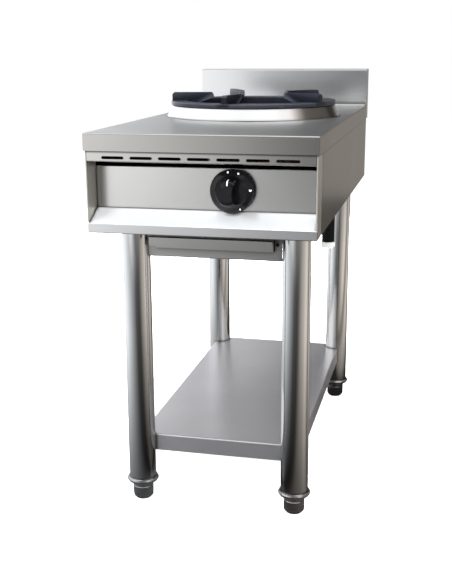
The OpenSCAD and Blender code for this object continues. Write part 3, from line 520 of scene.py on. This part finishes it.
# Painted shade: the worktop's upright folded edges are darker and warmer than its top.
tinted(TOP_STEEL, by_rise(TOP_STEEL, level=APRON_SHADE, upward=NO_TINT))
feed(TOP_STEEL, "Roughness", by_rise(TOP_STEEL, level=0.23, upward=0.36))
paint(TOP_STEEL, "worktop")
SPLASH_STEEL = steel("splashback sheet", dark=(0.88, 0.89, 0.905), light=(0.92, 0.93, 0.945),
                     rough=0.24, grain=GRAIN_ACROSS)
paint(SPLASH_STEEL, "splashback")


# Collar: spun from thicker sheet and polished bright, with rings left by the spinning.
# It stands round the opening in the worktop.
COLLAR_POLISH = steel("polished collar", dark=(0.8, 0.8, 0.81), light=(0.85, 0.85, 0.85),
                      rough=0.17, grain=(40, 40, 1600))
paint(COLLAR_POLISH, "wok_collar")


# Wok ring: one blue-black iron casting that lies loose on the collar.
# The edges of its five lugs are lighter: worn a little, and with a painted highlight.
RING_IRON = cast_iron("wok ring iron", dark=(0.003, 0.0034, 0.005), light=(0.009, 0.01, 0.0145),
                      wear_and_glint=(0.045, 0.049, 0.063))
paint(RING_IRON, "wok_ring")


# Knob: moulded from glossy black plastic, with white marks printed on the skirt: a dot for off,
# a spark, a large and a small flame, and a pointer on the grip. The skirt and the grip's end
# are given as distances from the axis, with heights above the skirt's back.
KNOB_HUB_L = 0.004
KNOB_SKIRT = ((0.0355, 0.0052), (0.0275, 0.009))
GRIP_END = ((0.0138, 0.03794), (0.0185, 0.037), (0.0215, 0.034), (0.0228, 0.0242))
POINTER_HALF = 0.0009
PRINT_T = 0.00012
DOT_CORNERS = 20
FLAME_STEPS = 12
FLAME_TAPER = 0.62
FLAME_LEAN = 0.18
KNOB_BLACK = painted("knob plastic", dark=(0.0025, 0.0025, 0.003), light=(0.0045, 0.0045, 0.0055),
                     rough=(0.14, 0.2), scale=40, strength=0.02, specular=0.3)
MARK_WHITE = painted("knob print", dark=(0.72, 0.72, 0.72), light=(0.8, 0.8, 0.8),
                     rough=(0.45, 0.55), scale=90, strength=0.02)
paint(KNOB_BLACK, "knob")
knob_low, knob_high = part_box("knob")
knob_axis = Vector(((knob_low.x + knob_high.x) / 2, 0, (knob_low.z + knob_high.z) / 2))
skirt_back = knob_high.y - KNOB_HUB_L


def skirt_height(reach):
    """Height of the sloping skirt at a distance from the axis."""
    (outer, low), (inner, high) = KNOB_SKIRT
    return low + (outer - reach) / (outer - inner) * (high - low)


def skirt_mark(name, outline, angle, reach):
    """Prints an outline on the sloping skirt, at an angle in degrees clockwise from the top."""
    form = bmesh.new()
    turn = math.radians(angle)
    corners = []
    for aside, out in outline:
        x = (reach + out) * math.sin(turn) + aside * math.cos(turn)
        z = (reach + out) * math.cos(turn) - aside * math.sin(turn)
        y = skirt_back - skirt_height(math.hypot(x, z)) - PRINT_T
        corners.append(form.verts.new((knob_axis.x + x, y, knob_axis.z + z)))
    form.faces.new(corners)
    add_piece(name, finished(form, name), MARK_WHITE, "knob")


def dot_outline(radius):
    turns = [2 * math.pi * k / DOT_CORNERS for k in range(DOT_CORNERS)]
    return [(radius * math.cos(turn), radius * math.sin(turn)) for turn in turns]


def spark_outline(points, outer, inner):
    outline = []
    for k in range(2 * points):
        reach = inner if k % 2 else outer
        turn = math.pi * k / points
        outline.append((reach * math.sin(turn), reach * math.cos(turn)))
    return outline


def flame_outline(height, width):
    """A drop with a pointed top that leans a little to one side."""
    left = []
    right = []
    for k in range(1, FLAME_STEPS):
        share = k / FLAME_STEPS
        half = width / 2 * math.sin(math.pi * share ** FLAME_TAPER)
        lean = FLAME_LEAN * width * math.sin(math.pi * share)
        left.append((lean - half, height * (share - 0.5)))
        right.append((lean + half, height * (share - 0.5)))
    return [(0, -height / 2)] + right + [(0, height / 2)] + left[::-1]


def pointer_mesh(name):
    """A stripe over the end of the grip."""
    form = bmesh.new()
    edges = []
    for reach, height in GRIP_END:
        middle = Vector((knob_axis.x, skirt_back - height - PRINT_T, knob_axis.z + reach + PRINT_T))
        edges.append([form.verts.new(middle + Vector((side * POINTER_HALF, 0, 0))) for _, side in HANDS])
    for (left, right), (next_left, next_right) in zip(edges, edges[1:]):
        form.faces.new((left, right, next_right, next_left))
    return finished(form, name)


skirt_mark("mark_off", dot_outline(radius=0.0015), angle=-10, reach=0.0331)
skirt_mark("mark_spark", spark_outline(points=8, outer=0.0023, inner=0.001), angle=22, reach=0.0329)
skirt_mark("mark_large_flame", flame_outline(height=0.005, width=0.0036), angle=84, reach=0.033)
skirt_mark("mark_small_flame", flame_outline(height=0.0036, width=0.0026), angle=152, reach=0.0331)
add_piece("mark_pointer", pointer_mesh("mark_pointer"), MARK_WHITE, "knob")


# Drip tray: a pan folded from one sheet, with a grip turned down along its front.
# It slides in on its runners.
TRAY_STEEL = steel("tray sheet", dark=(0.5, 0.5, 0.48), light=(0.55, 0.55, 0.53),
                   rough=0.29, grain=(8, 1400, 1400))
paint(TRAY_STEEL, "drip_tray")


# Studio: a white floor and background, a large light overhead, one from the upper left and two fills.
# Glowing cards that only reflections see stand for the room, with its windows and dark corners.
# Their greys are listed with the metres along the card, or with the bearing from the front legs.
FRONT_Y = -4.2
BACK_Y = 3.5
LEFT_X = -3.2
RIGHT_X = 3.4
CARD_Z = 0.002
CARD_TOP = 3.6
FRONT_TOP = 1.9
BACK_BAND = 1.3
SIDE_BAND = 1.4
CEILING_X = (-3.0, 3.3)
CEILING_Y = (-4.8, 0.5)
CEILING_Z = 3.5
NEAR_Y = -2.3
FLOOR_HALF = 9.0
FLOOR_ROUGH = 0.9
FLOOR_GLOW = 0.9
WHITE = (1, 1, 1, 1)
LEGS_Y = -0.31
# Painted shadow of the unit on the floor that the legs reflect.
FLOOR_SHADOW_REACH = (0.15, 1.3)
FLOOR_SHADOW_LEVEL = (0.12, 1.0)


def stage_plane(name, corners, material):
    """A four-cornered plane that belongs to the studio and not to the part."""
    mesh = bpy.data.meshes.new(name)
    mesh.from_pydata(corners, [], [(0, 1, 2, 3)])
    mesh.materials.append(material)
    plane = bpy.data.objects.new(name, mesh)
    bpy.context.scene.collection.objects.link(plane)
    plane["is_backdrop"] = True
    return plane


def lying(xs, ys, z):
    return [(xs[0], ys[0], z), (xs[1], ys[0], z), (xs[1], ys[1], z), (xs[0], ys[1], z)]


def across_room(y, low, high):
    return [(LEFT_X, y, low), (RIGHT_X, y, low), (RIGHT_X, y, high), (LEFT_X, y, high)]


def along_room(x, low, high):
    return [(x, FRONT_Y, low), (x, BACK_Y, low), (x, BACK_Y, high), (x, FRONT_Y, high)]


def grey(level, warmth=0.0):
    return level * (1 + warmth), level, level * (1 - warmth)


def bearing_and_distance(tree, spot):
    """The bearing of a spot on the floor from the middle of the front legs, and its distance."""
    ahead = tree.nodes.new("ShaderNodeMath")
    ahead.operation = "SUBTRACT"
    ahead.inputs[0].default_value = LEGS_Y
    tree.links.new(spot.outputs["Y"], ahead.inputs[1])
    bearing = tree.nodes.new("ShaderNodeMath")
    bearing.operation = "ARCTAN2"
    tree.links.new(spot.outputs["X"], bearing.inputs[0])
    tree.links.new(ahead.outputs["Value"], bearing.inputs[1])
    offset = tree.nodes.new("ShaderNodeCombineXYZ")
    tree.links.new(spot.outputs["X"], offset.inputs["X"])
    tree.links.new(ahead.outputs["Value"], offset.inputs["Y"])
    distance = tree.nodes.new("ShaderNodeVectorMath")
    distance.operation = "LENGTH"
    tree.links.new(offset.outputs["Vector"], distance.inputs[0])
    return bearing.outputs["Value"], distance.outputs["Value"]


def spread(tree, value, reach, levels=(0.0, 1.0)):
    """Takes a value from its reach to the levels."""
    share = tree.nodes.new("ShaderNodeMapRange")
    share.inputs["From Min"].default_value, share.inputs["From Max"].default_value = reach
    share.inputs["To Min"].default_value, share.inputs["To Max"].default_value = levels
    tree.links.new(value, share.inputs["Value"])
    return share.outputs["Result"]


def card(name, corners, axis, stops):
    """A glowing card whose colour changes along one axis, at stops in metres.

    Along the axis "bearing" it changes with the bearing instead, at stops in radians, and it carries
    a painted shadow: it fades towards the front legs, where a real unit shades the floor."""
    material = bpy.data.materials.new(name)
    material.use_nodes = True
    tree = material.node_tree
    tree.nodes.remove(tree.nodes["Principled BSDF"])
    glow = tree.nodes.new("ShaderNodeEmission")
    place = tree.nodes.new("ShaderNodeTexCoord")
    spot = tree.nodes.new("ShaderNodeSeparateXYZ")
    tree.links.new(place.outputs["Object"], spot.inputs["Vector"])
    if axis == "bearing":
        value, distance = bearing_and_distance(tree, spot)
        tree.links.new(spread(tree, distance, FLOOR_SHADOW_REACH, FLOOR_SHADOW_LEVEL), glow.inputs["Strength"])
    else:
        value = spot.outputs[axis]
    start, end = stops[0][0], stops[-1][0]
    colours = graded(tree, spread(tree, value, (start, end)), stops[0][1], stops[-1][1], 0.0, 1.0)
    for stop, colour in stops[1:-1]:
        element = colours.node.color_ramp.elements.new((stop - start) / (end - start))
        element.color = (*colour, 1)
    tree.links.new(colours, glow.inputs["Color"])
    tree.links.new(glow.outputs["Emission"], tree.nodes["Material Output"].inputs["Surface"])
    plane = stage_plane(name, corners, material)
    plane.visible_camera = False
    plane.visible_diffuse = False
    plane.visible_shadow = False
    plane.visible_transmission = False


FLOOR_WHITE, floor_tree, floor_shader = new_material("studio floor", 0.0, 0.1)
floor_tone = graded(floor_tree, noise(floor_tree, (2, 2, 2)), (0.5, 0.5, 0.5), (0.52, 0.52, 0.52))
floor_tree.links.new(floor_tone, floor_shader.inputs["Base Color"])
floor_shader.inputs["Roughness"].default_value = FLOOR_ROUGH
floor_shader.inputs["Emission Color"].default_value = WHITE
floor_shader.inputs["Emission Strength"].default_value = FLOOR_GLOW
floor_span = (-FLOOR_HALF, FLOOR_HALF)
floor = stage_plane("studio_floor", lying(floor_span, floor_span, 0), FLOOR_WHITE)
floor.visible_glossy = False

card("front_card", across_room(FRONT_Y, CARD_Z, FRONT_TOP), "X",
     [(-1.75, grey(1.45)), (-1.2, grey(0.86)), (-0.75, grey(0.54)), (-0.3, grey(0.1)),
      (0.3, grey(0.04)), (1.0, grey(0.3)), (2.4, grey(0.5))])
BACK_GREYS = ((-1.9, 2.4, -0.02), (-1.0, 0.86, 0), (-0.6, 0.32, 0), (-0.28, 0.02, 0), (0.05, 0.02, 0),
              (0.4, 0.28, 0.08), (0.8, 0.34, 0.08), (1.3, 0.13, 0.08), (2.4, 0.12, 0.08))
BACK_BANDS = (("low", CARD_Z, BACK_BAND, 1.0), ("high", BACK_BAND, CARD_TOP, 0.28))
for band, low, high, share in BACK_BANDS:
    card("back_card_" + band, across_room(BACK_Y, low, high), "X",
         [(metres, grey(level * share, warmth)) for metres, level, warmth in BACK_GREYS])
card("left_card", along_room(LEFT_X, CARD_Z, CARD_TOP), "Z",
     [(0.0, grey(0.95, -0.03)), (1.2, grey(1.25, -0.02)), (CARD_TOP, grey(1.4))])
card("right_card_low", along_room(RIGHT_X, CARD_Z, SIDE_BAND), "Y",
     [(FRONT_Y, grey(0.32, 0.05)), (BACK_Y, grey(0.28, 0.05))])
card("right_card_high", along_room(RIGHT_X, SIDE_BAND, CARD_TOP), "Y",
     [(FRONT_Y, grey(1.2)), (-1.4, grey(1.1, 0.02)), (-0.7, grey(0.5, 0.1)), (0.0, grey(0.1, 0.12)),
      (BACK_Y, grey(0.08, 0.12))])
card("ceiling_card", lying(CEILING_X, CEILING_Y, CEILING_Z), "X",
     [(-3.0, grey(1.35)), (-0.6, grey(1.2)), (2.4, grey(1.25)), (3.3, grey(1.0, 0.04))])
card("far_floor_card", lying((LEFT_X, RIGHT_X), (FRONT_Y, NEAR_Y), CARD_Z), "X",
     [(-1.6, grey(1.12)), (-0.8, grey(0.72)), (-0.2, grey(0.4)), (0.4, grey(0.2)), (2.4, grey(0.3))])
NEAR_GREYS = ((-180, 0.2, 0), (-140, 1.1, 0), (-95, 1.3, -0.03), (-60, 0.8, -0.03), (-33, 0.4, -0.02),
              (-5, 0.09, 0), (22, 0.06, 0.05), (34, 0.16, 0.1), (50, 0.4, 0.1), (72, 0.6, 0.1),
              (90, 0.9, 0.1), (104, 0.7, 0.1), (112, 0.2, 0.1), (120, 0.35, 0.1), (132, 0.75, 0.1),
              (146, 0.5, 0.1), (156, 0.05, 0.1), (180, 0.05, 0.05))
card("near_floor_card", lying((LEFT_X, RIGHT_X), (NEAR_Y, BACK_Y), CARD_Z), "bearing",
     [(math.radians(degrees), grey(level, warmth)) for degrees, level, warmth in NEAR_GREYS])


def area_light(name, place, aim, size, watts, colour=(1, 1, 1)):
    """A soft light that shines from its place to the aim and isn't seen in reflections."""
    lamp = bpy.data.lights.new(name, "AREA")
    lamp.shape = "RECTANGLE"
    lamp.size, lamp.size_y = size
    lamp.energy = watts
    lamp.color = colour
    holder = bpy.data.objects.new(name, lamp)
    bpy.context.scene.collection.objects.link(holder)
    holder.location = place
    holder.rotation_mode = "QUATERNION"
    holder.rotation_quaternion = (Vector(aim) - Vector(place)).to_track_quat("-Z", "Y")
    holder.visible_glossy = False


area_light("overhead", place=(0, -0.2, 3.4), aim=(0, 0, 0), size=(4.5, 4.5), watts=160)
area_light("upper_left", place=(-2.4, -2.4, 2.4), aim=(0, 0, 0.6), size=(1.6, 1.2), watts=100,
           colour=(0.9, 0.95, 1.0))
area_light("front_fill", place=(0.3, -3.6, 1.6), aim=(0, 0, 0.5), size=(2.4, 1.2), watts=190)
area_light("back_fill", place=(0.3, 2.6, 1.0), aim=(0, 0.2, 0.1), size=(2.0, 1.0), watts=340)

SKY_GREY = (0.5, 0.51, 0.53, 1)
SKY_STRENGTH = 0.5
world = bpy.data.worlds.new("studio")
bpy.context.scene.world = world
world.use_nodes = True
sky = world.node_tree
room = sky.nodes["Background"]
room.inputs["Color"].default_value = SKY_GREY
room.inputs["Strength"].default_value = SKY_STRENGTH
backdrop = sky.nodes.new("ShaderNodeBackground")
backdrop.inputs["Color"].default_value = WHITE
rays = sky.nodes.new("ShaderNodeLightPath")
choice = sky.nodes.new("ShaderNodeMixShader")
sky.links.new(rays.outputs["Is Camera Ray"], choice.inputs["Fac"])
sky.links.new(room.outputs["Background"], choice.inputs[1])
sky.links.new(backdrop.outputs["Background"], choice.inputs[2])
sky.links.new(choice.outputs["Shader"], sky.nodes["World Output"].inputs["Surface"])
bpy.context.scene.view_settings.view_transform = "Standard"


# Camera: at the photograph's place, a little above the worktop and to the right of the middle.
# Its place and its angles, in radians, come from a fit to the photograph.
CAMERA_PLACE = (0.4037, -1.9355, 0.8493)
CAMERA_YAW = 0.232
CAMERA_PITCH = 0.252
CAMERA_ROLL = -0.006
FOCAL_PIXELS = 956.7
PICTURE_HEIGHT = 584
SENSOR_MM = 36.0
lens = bpy.data.cameras.new("camera")
lens.sensor_width = SENSOR_MM
lens.lens = FOCAL_PIXELS * SENSOR_MM / PICTURE_HEIGHT
camera = bpy.data.objects.new("camera", lens)
bpy.context.scene.collection.objects.link(camera)
forward = Vector((-math.sin(CAMERA_YAW) * math.cos(CAMERA_PITCH),
                  math.cos(CAMERA_YAW) * math.cos(CAMERA_PITCH),
                  -math.sin(CAMERA_PITCH)))
level = Vector((math.cos(CAMERA_YAW), math.sin(CAMERA_YAW), 0))
upright = level.cross(forward)
right = level * math.cos(CAMERA_ROLL) + upright * math.sin(CAMERA_ROLL)
up = upright * math.cos(CAMERA_ROLL) - level * math.sin(CAMERA_ROLL)
turned = Matrix((right, up, -forward)).transposed().to_4x4()
camera.matrix_world = Matrix.Translation(CAMERA_PLACE) @ turned
bpy.context.scene.camera = camera

low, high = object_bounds()
